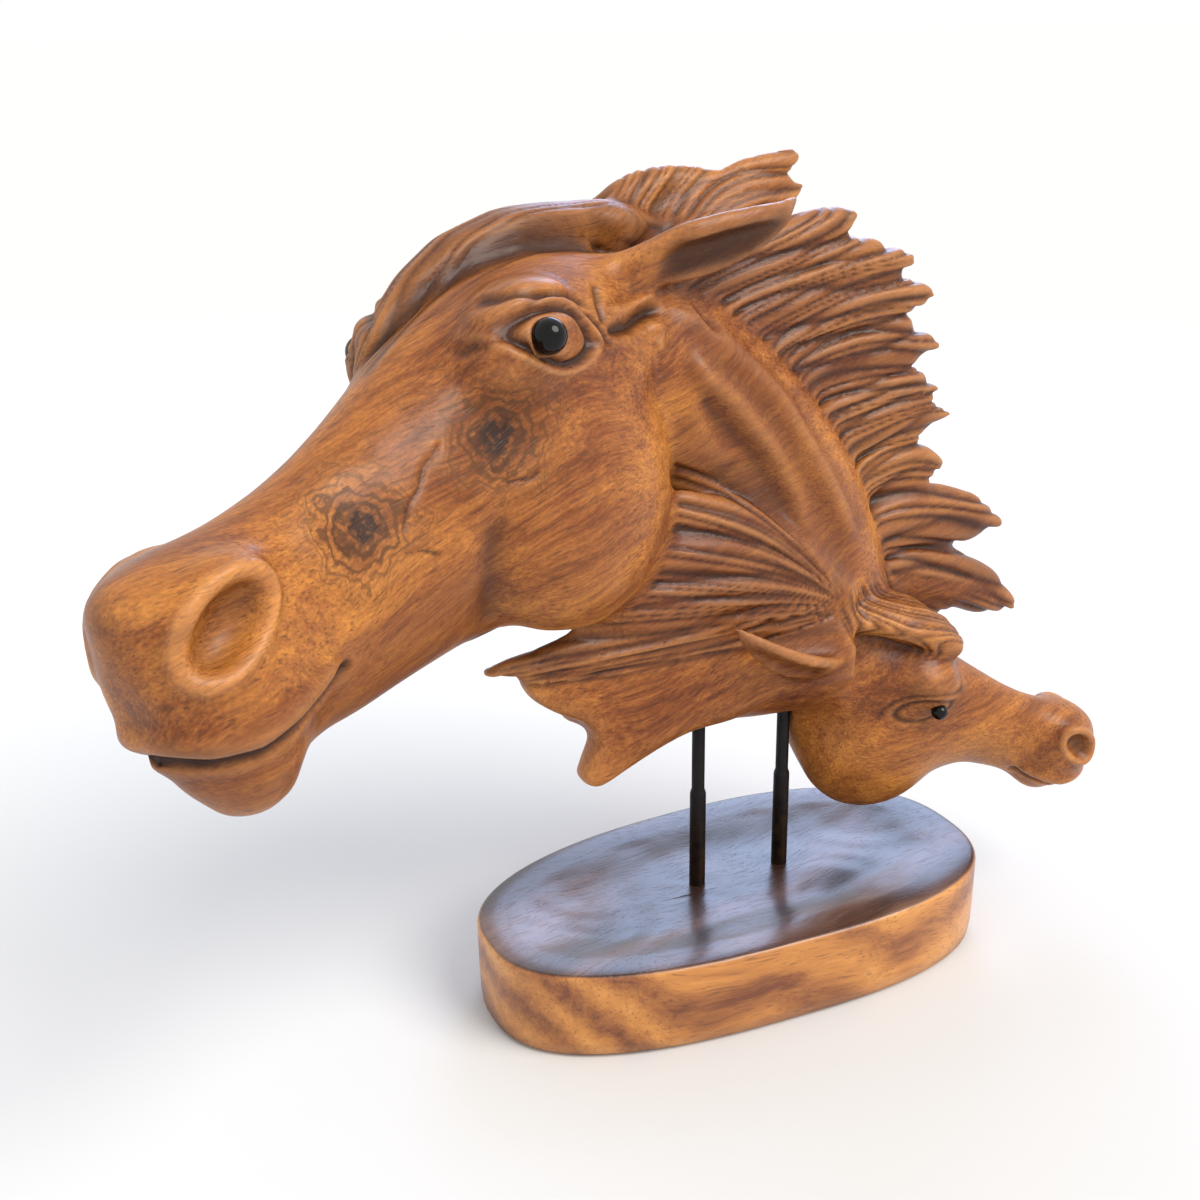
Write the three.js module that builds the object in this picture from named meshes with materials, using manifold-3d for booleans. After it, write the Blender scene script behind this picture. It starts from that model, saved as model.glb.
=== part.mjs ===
// A mare's head with a flowing mane and a foal's head beneath it, carved from one piece of hardwood and held
// above an oval wooden base by two steel rods. Four glass beads are set in the carving as eyes.
//
// Millimetres, +Z up. The origin is the centre of the base's underside. +X runs along the base's long axis,
// towards the foal's muzzle, and -Y is the front. Each head is shaped in a frame of its own: its origin is
// the poll, between the ears, +X runs forward to the lips, +Y is the animal's left and +Z is its forehead's
// side. Lengths in a head's frame are shares of that head's length.
import * as THREE from "three";
import { mergeVertices } from "three/addons/utils/BufferGeometryUtils.js";
import Module from "manifold-3d";

const wasm = await Module();
wasm.setup();

// ---- Driving dimensions ----------------------------------------------------------------------------------

const BASE = { halfLength: 150, halfWidth: 78, height: 50, squareness: 2.5, wideEnd: 0.07, bow: -0.06 };
const ROD = { diameter: 9, spacing: 54, centreX: 9, centreY: 5, inBase: 30, top: 168 };
const FIT_GAP = 0.3; // clearance round everything that is set into the wood
const FACET_TOLERANCE = 1; // how far the carving's facets may lie from its curves

const MARE = { length: 328, poll: [-74, 35, 413], heading: -149.6, dip: 10.8, roll: 9.8 };
const FOAL = { length: 203, poll: [62, 0, 195], heading: -10.6, dip: 18.1, roll: 11 };
const MARE_BEAD = 16; // diameters of the glass eyes
const FOAL_BEAD = 9;

// ---- Tools -----------------------------------------------------------------------------------------------

const vec = (x, y, z) => new THREE.Vector3(x, y, z);
const spline = (...points) => new THREE.CatmullRomCurve3(points.map((p) => vec(...p)));

/** A smooth function through [place, value] pairs. */
function line(...pairs) {
  const curve = new THREE.CubicInterpolant(pairs.map((p) => p[0]), pairs.map((p) => p[1]), 1);
  return (place) => curve.evaluate(place)[0];
}

/** A closed geometry as a manifold-3d solid, facing out. */
function solid(geometry) {
  const bare = geometry.clone();
  bare.deleteAttribute("normal");
  bare.deleteAttribute("uv");
  const merged = mergeVertices(bare, 1e-4);
  const vertProperties = new Float32Array(merged.attributes.position.array);
  const triVerts = new Uint32Array(merged.index.array);
  const made = new wasm.Manifold(new wasm.Mesh({ numProp: 3, vertProperties, triVerts }));
  if (made.volume() > 0) return made;
  return new wasm.Manifold(new wasm.Mesh({ numProp: 3, vertProperties, triVerts: triVerts.reverse() }));
}

/** A manifold-3d solid as a three.js geometry. */
function geometryOf(made) {
  const mesh = made.getMesh();
  const geometry = new THREE.BufferGeometry();
  geometry.setAttribute("position", new THREE.BufferAttribute(mesh.vertProperties, 3));
  geometry.setIndex(new THREE.BufferAttribute(mesh.triVerts, 1));
  geometry.computeVertexNormals();
  return geometry;
}

const joined = (solids) => solids.reduce((sum, next) => sum.add(next));

/** Rings with the same number of points, skinned into a closed solid with a fan at each end. */
function skin(rings) {
  const around = rings[0].length;
  const last = rings.length - 1;
  const middle = (ring) => ring.reduce((sum, p) => sum.add(p), vec(0, 0, 0)).divideScalar(around);
  const points = [...rings.flat(), middle(rings[0]), middle(rings[last])];
  const [firstFan, lastFan] = [points.length - 2, points.length - 1];
  const faces = [];
  for (let k = 0; k < around; k++) {
    const next = (k + 1) % around;
    for (let r = 0; r < last; r++) {
      const [a, b] = [r * around + k, r * around + next];
      const [c, d] = [b + around, a + around];
      faces.push(a, b, c, a, c, d);
    }
    faces.push(next, k, firstFan, last * around + k, last * around + next, lastFan);
  }
  return solid(new THREE.BufferGeometry().setFromPoints(points).setIndex(faces));
}

/**
 * An oval section drawn along a curve. wide and thick give its half sizes at each share of the way, and the
 * thickness lies along `flat`.
 */
function sweep({ path, wide, thick, flat = vec(0, 1, 0), steps = 10, around = 12, start = 0, end = 1 }) {
  const rings = [];
  for (let i = 0; i <= steps; i++) {
    const share = start + ((end - start) * i) / steps;
    const tangent = path.getTangentAt(share);
    const side = vec(0, 0, 0).crossVectors(tangent, flat).normalize();
    const front = vec(0, 0, 0).crossVectors(side, tangent).normalize();
    const ring = [];
    for (let k = 0; k < around; k++) {
      const angle = (2 * Math.PI * k) / around;
      const point = path.getPointAt(share);
      point.addScaledVector(side, wide(share) * Math.cos(angle));
      point.addScaledVector(front, thick(share) * Math.sin(angle));
      ring.push(point);
    }
    rings.push(ring);
  }
  return skin(rings);
}

/** A ball stretched to three half sizes and turned by degrees about x, y and z. */
function ball(centre, [rx, ry, rz], [ax, ay, az] = [0, 0, 0], detail = 12) {
  const turn = new THREE.Euler(...[ax, ay, az].map(THREE.MathUtils.degToRad));
  const place = new THREE.Matrix4().compose(
    vec(...centre),
    new THREE.Quaternion().setFromEuler(turn),
    vec(rx, ry, rz),
  );
  return solid(new THREE.SphereGeometry(1, detail, detail * 0.6).applyMatrix4(place));
}

/** A plate with a smooth or jagged outline in the x-z plane, standing between two values of y. */
function plate(outline, near, far) {
  const shape = new THREE.Shape(outline.map(([x, z]) => new THREE.Vector2(x, z)));
  const made = new THREE.ExtrudeGeometry(shape, { depth: far - near, bevelEnabled: false });
  return solid(made.rotateX(Math.PI / 2).translate(0, far, 0));
}

// ---- Horse heads -----------------------------------------------------------------------------------------

/** An empty group in a head's frame: its poll, heading in plan, dip of the nose and roll of the left side. */
function headFrame({ poll, heading, dip, roll }) {
  const group = new THREE.Group();
  group.position.set(...poll);
  group.rotation.order = "ZYX";
  group.rotation.set(...[roll, dip, heading].map(THREE.MathUtils.degToRad));
  group.updateMatrixWorld(true);
  return group;
}

// A head's outline from the side, and its half widths at three heights, from the skull's back to the lips.
const dorsal = line([-0.06, -0.12], [0, -0.04], [0.1, 0], [0.25, 0.005], [0.4, -0.025], [0.5, -0.055],
  [0.6, -0.085], [0.7, -0.105], [0.8, -0.112], [0.88, -0.105], [0.94, -0.135], [0.985, -0.2]);
const mareVentral = line([-0.06, -0.3], [0, -0.36], [0.1, -0.44], [0.25, -0.485], [0.38, -0.47],
  [0.5, -0.445], [0.62, -0.435], [0.72, -0.428], [0.79, -0.418], [0.835, -0.452], [0.88, -0.452],
  [0.93, -0.41], [0.985, -0.33]);
const foalVentral = line([-0.06, -0.3], [0, -0.38], [0.1, -0.48], [0.22, -0.53], [0.35, -0.52], [0.45, -0.46],
  [0.55, -0.38], [0.65, -0.375], [0.76, -0.385], [0.83, -0.425], [0.88, -0.425], [0.93, -0.39],
  [0.985, -0.32]);
const nasalHalf = line([-0.06, 0.07], [0.1, 0.1], [0.28, 0.115], [0.45, 0.078], [0.65, 0.055], [0.85, 0.065],
  [0.93, 0.06], [0.985, 0.03]);
const cheekHalf = line([-0.06, 0.08], [0.1, 0.135], [0.28, 0.16], [0.45, 0.125], [0.6, 0.098], [0.72, 0.09],
  [0.86, 0.11], [0.94, 0.095], [0.985, 0.05]);
const jawHalf = line([-0.06, 0.06], [0.1, 0.1], [0.28, 0.115], [0.45, 0.085], [0.6, 0.066], [0.72, 0.06],
  [0.86, 0.075], [0.94, 0.06], [0.985, 0.03]);
const HEIGHTS = { nasal: 0.1, cheek: 0.42, jaw: 0.82 }; // shares of the way from dorsal to ventral line

function headBody(ventral, stations = 19, around = 18) {
  const rings = [];
  for (let i = 0; i <= stations; i++) {
    const u = -0.06 + 1.045 * Math.sin((Math.PI / 2) * (i / stations) ** 0.9);
    const height = (share) => THREE.MathUtils.lerp(dorsal(u), ventral(u), share);
    const side = (sign) => [
      vec(u, sign * nasalHalf(u), height(HEIGHTS.nasal)),
      vec(u, sign * cheekHalf(u), height(HEIGHTS.cheek)),
      vec(u, sign * jawHalf(u), height(HEIGHTS.jaw)),
    ];
    const section = [vec(u, 0, height(0)), ...side(1), vec(u, 0, height(1)), ...side(-1).reverse()];
    rings.push(new THREE.CatmullRomCurve3(section, true).getPoints(around).slice(0, around));
  }
  return skin(rings);
}

/**
 * One ear laid back: its spoon-shaped shell and the hollow cut into its outer face. The right ear may lie
 * closer to the neck than the left one.
 */
function ear(side, { root, bend, tip, half, rightSpread = 1 }) {
  const spread = side < 0 ? rightSpread : 1;
  const outward = vec(0.1, side, -0.6).normalize();
  const path = (offset) =>
    new THREE.QuadraticBezierCurve3(
      ...[root, bend, tip].map(([u, v, w]) => vec(u, side * v * spread, w).addScaledVector(outward, offset)),
    );
  const taper = line([0, 0.5], [0.3, 0.95], [0.55, 1], [0.8, 0.62], [1, 0.04]);
  const shell = { wide: (s) => half * taper(s), thick: (s) => 0.5 * half * taper(s), steps: 7, around: 8 };
  const hollow = { wide: (s) => 0.68 * half * taper(s), thick: shell.thick, steps: 5, around: 7 };
  return {
    shell: sweep({ path: path(0), flat: outward, ...shell }),
    hollow: sweep({ path: path(0.5 * half), flat: outward, start: 0.22, end: 0.9, ...hollow }),
  };
}

/** The solids of a head and the cuts into it, in shares of its length. */
function horseHead({ ventral, jowlDrop, earShape, forelock }) {
  const parts = [headBody(ventral), forelock];
  const cuts = [];
  for (const side of [1, -1]) {
    parts.push(ball([0.255, side * 0.062, -0.31 - jowlDrop], [0.218, 0.116, 0.218], [0, 0, 0], 14));
    parts.push(ball([0.14, side * 0.1, -0.18], [0.125, 0.05, 0.07], [side * 12, 4, 0], 10));
    parts.push(ball([0.3, side * 0.1, -0.08], [0.118, 0.074, 0.078], [side * 20, 12, 0]));
    parts.push(ball([0.865, side * 0.066, -0.185], [0.092, 0.042, 0.068], [0, 22, side * -10]));
    cuts.push(ball([0.88, side * 0.108, -0.19], [0.068, 0.042, 0.04], [0, 24, side * -12]));
    const { shell, hollow } = ear(side, earShape);
    parts.push(shell);
    cuts.push(hollow);
  }
  const lips = [[0.72, 0.092], [0.8, 0.096], [0.88, 0.094], [0.95, 0.062], [0.985, 0.02]];
  const lipLine = line([0.7, -0.335], [0.8, -0.352], [0.88, -0.355], [0.95, -0.335], [0.99, -0.315]);
  const around = [...lips.map(([u, v]) => [u, v]), ...lips.map(([u, v]) => [u, -v]).reverse()];
  cuts.push(
    sweep({
      path: spline(...around.map(([u, v]) => [u, v, lipLine(u)])),
      wide: () => 0.014,
      thick: () => 0.007,
      flat: vec(0, 0, 1),
      steps: 14,
      around: 4,
    }),
  );
  return { body: joined(parts), cuts: joined(cuts) };
}

/** A head's body, cuts and eye places in the sculpture's own frame. */
function placedHead(pose, shape, eye) {
  const frame = headFrame(pose);
  const place = frame.matrixWorld.clone().scale(vec(pose.length, pose.length, pose.length));
  const { body, cuts } = horseHead(shape);
  return {
    body: body.transform(place.elements),
    cuts: cuts.transform(place.elements),
    eyes: [1, -1].map((side) => vec(eye[0], side * eye[1], eye[2]).applyMatrix4(place)),
  };
}

const mareHead = placedHead(
  MARE,
  {
    ventral: mareVentral,
    jowlDrop: 0,
    earShape: {
      root: [0.08, 0.07, -0.06],
      bend: [-0.16, 0.26, -0.1],
      tip: [-0.24, 0.245, -0.056],
      half: 0.055,
      rightSpread: 0.6,
    },
    forelock: sweep({
      path: spline([-0.17, 0.01, -0.08], [-0.04, -0.01, -0.025], [0.09, -0.03, 0.008], [0.21, -0.05, 0.013],
        [0.33, -0.068, -0.02], [0.44, -0.078, -0.076]),
      wide: line([0, 0.05], [0.3, 0.08], [0.7, 0.058], [1, 0.012]),
      thick: line([0, 0.02], [0.3, 0.04], [0.6, 0.046], [0.85, 0.032], [1, 0.01]),
      flat: vec(0, -0.3, 1),
      steps: 8,
      around: 9,
    }),
  },
  [0.322, 0.172, -0.071],
);
const foalHead = placedHead(
  FOAL,
  {
    ventral: foalVentral,
    jowlDrop: 0.025,
    earShape: {
      root: [0.0, 0.14, -0.05],
      bend: [-0.2, 0.33, -0.05],
      tip: [-0.43, 0.295, 0.073],
      half: 0.056,
    },
    forelock: sweep({
      path: spline([-0.1, 0, 0.02], [0.05, 0, 0.045], [0.2, -0.02, 0.055], [0.38, -0.03, 0.015]),
      wide: line([0, 0.1], [0.4, 0.12], [0.8, 0.1], [1, 0.07]),
      thick: line([0, 0.03], [0.4, 0.045], [0.8, 0.05], [1, 0.03]),
      flat: vec(0, 0, 1),
      steps: 6,
      around: 9,
    }),
  },
  [0.335, 0.168, -0.13],
);

// ---- Necks -----------------------------------------------------------------------------------------------

const mareNeck = sweep({
  path: spline([-85, 20, 350], [-30, 28, 325], [18, 30, 275], [48, 28, 220], [62, 24, 170]),
  wide: line([0, 50], [0.3, 58], [0.6, 60], [1, 52]),
  thick: line([0, 40], [0.3, 42], [0.6, 44], [1, 40]),
  steps: 9,
  around: 18,
});

const foalNeck = sweep({
  path: spline([-104, -8, 192], [-50, 0, 186], [0, 4, 184], [60, 2, 182]),
  wide: line([0, 22], [0.4, 32], [0.7, 38], [1, 38]),
  thick: line([0, 14], [0.3, 28], [0.6, 36], [1, 34]),
  steps: 7,
  around: 14,
});

/** The foal's neck ends in a thin sheet with a broken edge, behind and below the mare's jaw. */
const brokenEdge = plate(
  [[-20, 225], [-134, 208], [-128, 194], [-114, 183], [-99, 176], [-93, 166], [-99, 152], [-103, 143],
    [-94, 137], [-71, 145], [-42, 156], [-13, 158], [10, 170]],
  -30,
  -12,
);

// ---- Hair ------------------------------------------------------------------------------------------------

/** A tapering lock of hair from a root to a tip, by way of a bend. */
function lock(root, bend, tip, halfWidth, halfThickness, point = 0.08) {
  const taper = line([0, 1], [0.5, 1], [0.8, 0.75], [1, point]);
  return sweep({
    path: new THREE.QuadraticBezierCurve3(vec(...root), vec(...bend), vec(...tip)),
    wide: (s) => halfWidth * taper(s),
    thick: (s) => halfThickness * THREE.MathUtils.lerp(1, 0.35, s),
    steps: 5,
    around: 6,
  });
}

const MANE_Y = 32; // the mane stands in a plane along the neck's crest
const maneBlade = plate(
  [[-60, 385], [0, 398], [58, 406], [80, 399], [114, 368], [121, 350], [125, 328], [129, 288], [138, 258],
    [162, 208], [166, 172], [95, 172], [60, 250], [10, 320]],
  MANE_Y - 9,
  MANE_Y + 9,
);
// Each lock of the mare's mane: root, bend and tip in the mane's plane, then its half width.
const MANE_LOCKS = [
  [[-20, 375], [40, 394], [87, 409], 15],
  [[0, 358], [60, 384], [126, 381], 18],
  [[15, 340], [70, 368], [141, 362], 16],
  [[28, 320], [85, 345], [145, 333], 17],
  [[42, 298], [95, 322], [146, 308], 17],
  [[52, 278], [105, 302], [157, 293], 15],
  [[62, 255], [110, 278], [154, 262], 18],
  [[75, 230], [130, 244], [200, 220], 20],
  [[88, 205], [140, 212], [216, 164], 20],
];
const mareMane = MANE_LOCKS.map(([root, bend, tip, half]) => {
  const inPlane = ([x, z], y) => [x, y, z];
  return lock(inPlane(root, MANE_Y), inPlane(bend, MANE_Y), inPlane(tip, MANE_Y - 2), half, 22);
});

// A tuft thrown up on the far side of the poll, with two blunt tips.
const tuft = [
  lock([-70, 44, 392], [-30, 62, 432], [20, 60, 424], 15, 15, 0.5),
  lock([-55, 46, 385], [10, 60, 408], [70, 62, 438], 18, 14, 0.25),
  lock([-40, 40, 385], [10, 50, 405], [74, 58, 421], 15, 12),
];

// Locks of the foal's mane fan out from its whorl, over the mare's throat.
const WHORL = [60, -6, 208];
const foalMane = [
  [[5, -20, 262], [-70, -14, 285], 17],
  [[-5, -24, 248], [-105, -20, 264], 17],
  [[-15, -26, 234], [-132, -24, 240], 16],
  [[-25, -26, 220], [-152, -24, 213], 15],
  [[-20, -22, 206], [-128, -20, 207], 12],
].map(([bend, tip, half]) => lock(WHORL, bend, tip, half, 17));

// ---- Base and rods ---------------------------------------------------------------------------------------

/** The base's oval, drawn in from its edge by `inset`. */
function oval(inset, z) {
  const around = 32;
  return Array.from({ length: around }, (_, k) => {
    const angle = (2 * Math.PI * k) / around;
    const power = (value) => Math.sign(value) * Math.abs(value) ** (2 / BASE.squareness);
    const [along, across] = [power(Math.cos(angle)), power(Math.sin(angle))];
    const half = BASE.halfWidth - inset;
    return vec(
      (BASE.halfLength - inset) * along,
      half * across * (1 + BASE.wideEnd * along) + BASE.bow * half * along ** 2,
      z,
    );
  });
}

/** The block's side is nearly upright, and its top dips in the middle. */
function baseBlock() {
  const top = BASE.height;
  const side = [[5, 0], [1.5, 2.5], [0.5, 10], [0, top - 4], [1, top - 1.2]];
  const dish = [[3.5, top], [16, top], [26, top - 1.5], [44, top - 4], [66, top - 5]];
  return skin([...side, ...dish].map(([inset, z]) => oval(inset, z)));
}

const rodPlaces = [-1, 1].map((side) => [ROD.centreX + (side * ROD.spacing) / 2, ROD.centreY]);
const rodMiddle = (ROD.top + BASE.height - ROD.inBase) / 2;

function rodGeometry(extra) {
  const length = ROD.top - (BASE.height - ROD.inBase) + 2 * extra;
  const radius = ROD.diameter / 2 + extra;
  return new THREE.CylinderGeometry(radius, radius, length, 20).rotateX(Math.PI / 2);
}
const rodHoles = joined(
  rodPlaces.map(([x, y]) => solid(rodGeometry(FIT_GAP).translate(x, y, rodMiddle))),
);

// ---- Glass eyes ------------------------------------------------------------------------------------------

const beadGeometry = (diameter, extra) => new THREE.SphereGeometry(diameter / 2 + extra, 12, 8);
const beads = [
  ["mare_eye_left", MARE_BEAD, mareHead.eyes[0]],
  ["mare_eye_right", MARE_BEAD, mareHead.eyes[1]],
  ["foal_eye_left", FOAL_BEAD, foalHead.eyes[0]],
  ["foal_eye_right", FOAL_BEAD, foalHead.eyes[1]],
];
const sockets = joined(
  beads.map(([, diameter, place]) => solid(beadGeometry(diameter, FIT_GAP).translate(...place.toArray()))),
);

// ---- The sculpture ---------------------------------------------------------------------------------------

const wood = new THREE.MeshStandardMaterial({ color: 0xa8672e, roughness: 0.35 });
const baseWood = new THREE.MeshStandardMaterial({ color: 0x9a6433, roughness: 0.25 });
const steel = new THREE.MeshStandardMaterial({ color: 0x17130f, roughness: 0.45, metalness: 0.8 });
const glass = new THREE.MeshStandardMaterial({ color: 0x060504, roughness: 0.05 });

function piece(name, geometry, material, place = vec(0, 0, 0)) {
  const mesh = new THREE.Mesh(geometry, material);
  mesh.name = name;
  mesh.position.copy(place);
  return mesh;
}

/** The largest closed skin of a solid: it drops the small hollows that overlapping shapes shut in. */
function outerSkin(made) {
  return made.decompose().reduce((best, next) => (next.volume() > best.volume() ? next : best));
}

const carved = joined([
  mareHead.body,
  foalHead.body,
  mareNeck,
  foalNeck,
  brokenEdge,
  maneBlade,
  ...mareMane,
  ...tuft,
  ...foalMane,
]);
const timber = outerSkin(carved.subtract(mareHead.cuts).subtract(foalHead.cuts)).simplify(FACET_TOLERANCE);

const sculpture = new THREE.Group();
sculpture.add(piece("carved_mare_and_foal", geometryOf(timber.subtract(joined([sockets, rodHoles]))), wood));
sculpture.add(piece("oval_base", geometryOf(baseBlock().subtract(rodHoles)), baseWood));
rodPlaces.forEach(([x, y], i) => {
  const name = ["support_rod_left", "support_rod_right"][i];
  sculpture.add(piece(name, rodGeometry(0), steel, vec(x, y, rodMiddle)));
});
beads.forEach(([name, diameter, place]) => {
  sculpture.add(piece(name, beadGeometry(diameter, 0), glass, place));
});

export default sculpture;
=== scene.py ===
"""A carved hardwood mare and foal on two steel rods over an oval base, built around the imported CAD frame.

All lengths are metres, +Z up, in the CAD frame: the origin is the centre of the base's underside, +X runs
towards the foal's muzzle and -Y is the front.
"""

import math

import bmesh
import bpy
import numpy as np
from mathutils import Euler, Matrix, Vector
from mathutils.kdtree import KDTree


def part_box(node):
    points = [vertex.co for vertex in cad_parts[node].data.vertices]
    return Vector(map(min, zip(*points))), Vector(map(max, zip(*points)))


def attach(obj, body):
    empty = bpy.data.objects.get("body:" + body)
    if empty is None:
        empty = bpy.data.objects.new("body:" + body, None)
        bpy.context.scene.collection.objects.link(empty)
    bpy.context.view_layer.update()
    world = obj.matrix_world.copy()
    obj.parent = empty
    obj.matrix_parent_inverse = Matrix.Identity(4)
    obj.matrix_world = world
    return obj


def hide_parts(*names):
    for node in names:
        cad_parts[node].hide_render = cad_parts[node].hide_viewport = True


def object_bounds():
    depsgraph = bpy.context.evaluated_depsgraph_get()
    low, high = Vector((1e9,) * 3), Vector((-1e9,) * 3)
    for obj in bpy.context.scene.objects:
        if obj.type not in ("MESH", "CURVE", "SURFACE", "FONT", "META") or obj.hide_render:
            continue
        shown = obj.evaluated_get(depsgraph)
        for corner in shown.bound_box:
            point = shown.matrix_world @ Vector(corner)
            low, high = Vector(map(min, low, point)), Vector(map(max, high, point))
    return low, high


bl_info = {
    "name": "Carved mare and foal",
    "version": (1, 0, 0),
    "blender": (4, 5, 0),
    "location": "View3D > Sidebar > Sculpture",
    "description": "Builds the carved mare and foal, their glass eyes, rods, base and a studio stage",
    "category": "Add Mesh",
}

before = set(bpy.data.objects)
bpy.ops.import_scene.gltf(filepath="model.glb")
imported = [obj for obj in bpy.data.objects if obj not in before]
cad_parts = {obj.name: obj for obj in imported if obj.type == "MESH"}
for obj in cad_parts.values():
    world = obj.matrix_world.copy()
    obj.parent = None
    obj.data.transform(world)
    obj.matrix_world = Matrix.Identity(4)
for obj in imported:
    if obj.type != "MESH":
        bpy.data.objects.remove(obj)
CAD_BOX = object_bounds()
MM = 0.001


# ---- Places ----


class Head:
    """A head's own frame. Its origin is the poll, +X runs to the lips, +Y is the animal's left and +Z is the
    forehead's side. Lengths in it are shares of the head's length."""

    def __init__(self, length, poll, heading, dip, roll):
        self.length = length * MM
        self.poll = np.array(poll) * MM
        angles = [math.radians(angle) for angle in (roll, dip, heading)]
        self.turn = np.array(Euler(angles).to_matrix())

    def local(self, points):
        return (points - self.poll) @ self.turn / self.length

    def eye(self, node):
        """The centre of a glass eye, in this frame."""
        return self.local(middle(node))


MARE = Head(328, (-74, 35, 413), -149.6, 10.8, 9.8)
FOAL = Head(203, (62, 0, 195), -10.6, 18.1, 11)


def middle(node):
    low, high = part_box(node)
    return (np.array(low) + np.array(high)) / 2


# Each lock of hair: the x and z of its root, bend and tip, in millimetres.
MANE_LOCKS = [
    [(-40, 385), (10, 398), (60, 421)],
    [(-20, 372), (40, 392), (87, 409)],
    [(0, 358), (60, 384), (126, 381)],
    [(15, 340), (70, 368), (141, 362)],
    [(28, 320), (85, 345), (145, 333)],
    [(42, 298), (95, 322), (146, 308)],
    [(52, 278), (105, 302), (157, 293)],
    [(62, 255), (110, 278), (154, 262)],
    [(75, 230), (130, 244), (200, 220)],
    [(88, 205), (140, 212), (216, 164)],
]
FOAL_MANE_LOCKS = [
    [(60, 208), (5, 262), (-70, 285)],
    [(60, 208), (-5, 248), (-105, 264)],
    [(60, 208), (-15, 234), (-132, 240)],
    [(60, 208), (-25, 220), (-152, 213)],
    [(60, 208), (-20, 206), (-128, 207)],
]


# ---- Carving tools ----


def ramp(values, start, end):
    """0 before start, 1 after end, and a smooth step between. It falls where end is less than start."""
    share = np.clip((values - start) / (end - start), 0, 1)
    return share * share * (3 - 2 * share)


def bump(values, width):
    """A rounded bump, 1 at 0 and about 0 beyond twice the width."""
    return np.exp(-((values / width) ** 2))


def distance_to_path(points, path):
    """How far each point is from a path of straight legs, and its share of the way along."""
    path = np.asarray(path, float)
    lengths = np.linalg.norm(np.diff(path, axis=0), axis=1)
    best = np.full(len(points), np.inf)
    share = np.zeros(len(points))
    for i, (a, b) in enumerate(zip(path[:-1], path[1:])):
        along = np.clip((points - a) @ (b - a) / lengths[i] ** 2, 0, 1)
        distance = np.linalg.norm(points - a - along[:, None] * (b - a), axis=1)
        closer = distance < best
        best[closer] = distance[closer]
        share[closer] = ((lengths[:i].sum() + along * lengths[i]) / lengths.sum())[closer]
    return best, share


class Surface:
    """A dense mesh held as arrays, so that it can be smoothed and carved."""

    def __init__(self, mesh):
        self.mesh = mesh
        self.points = np.empty((len(mesh.vertices), 3), np.float32)
        mesh.vertices.foreach_get("co", self.points.ravel())
        self.points = self.points.astype(float)
        edges = np.empty((len(mesh.edges), 2), np.int32)
        mesh.edges.foreach_get("vertices", edges.ravel())
        self.ends = edges.T
        self.links = np.bincount(edges.ravel(), minlength=len(self.points))

    def around(self, values):
        """The mean of each point's neighbours."""
        a, b = self.ends
        total = np.empty_like(values)
        for k in range(values.shape[1]):
            column = np.ascontiguousarray(values[:, k])
            total[:, k] = np.bincount(a, column[b], len(values)) + np.bincount(b, column[a], len(values))
        return total / self.links[:, None]

    def smooth(self, share, rounds):
        for _ in range(rounds):
            self.points += share[:, None] * (self.around(self.points) - self.points)

    def normals(self):
        self.store()
        normals = np.empty((len(self.points), 3), np.float32)
        self.mesh.vertex_normals.foreach_get("vector", normals.ravel())
        return normals.astype(float)

    def raise_by(self, height):
        """Moves each point out along its normal."""
        self.points += height[:, None] * self.normals()

    def store(self):
        self.mesh.vertices.foreach_set("co", self.points.astype(np.float32).ravel())
        self.mesh.update()

    def attribute(self, name, values):
        layer = self.mesh.attributes.new(name, "FLOAT", "POINT")
        layer.data.foreach_set("value", values.astype(np.float32))


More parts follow.
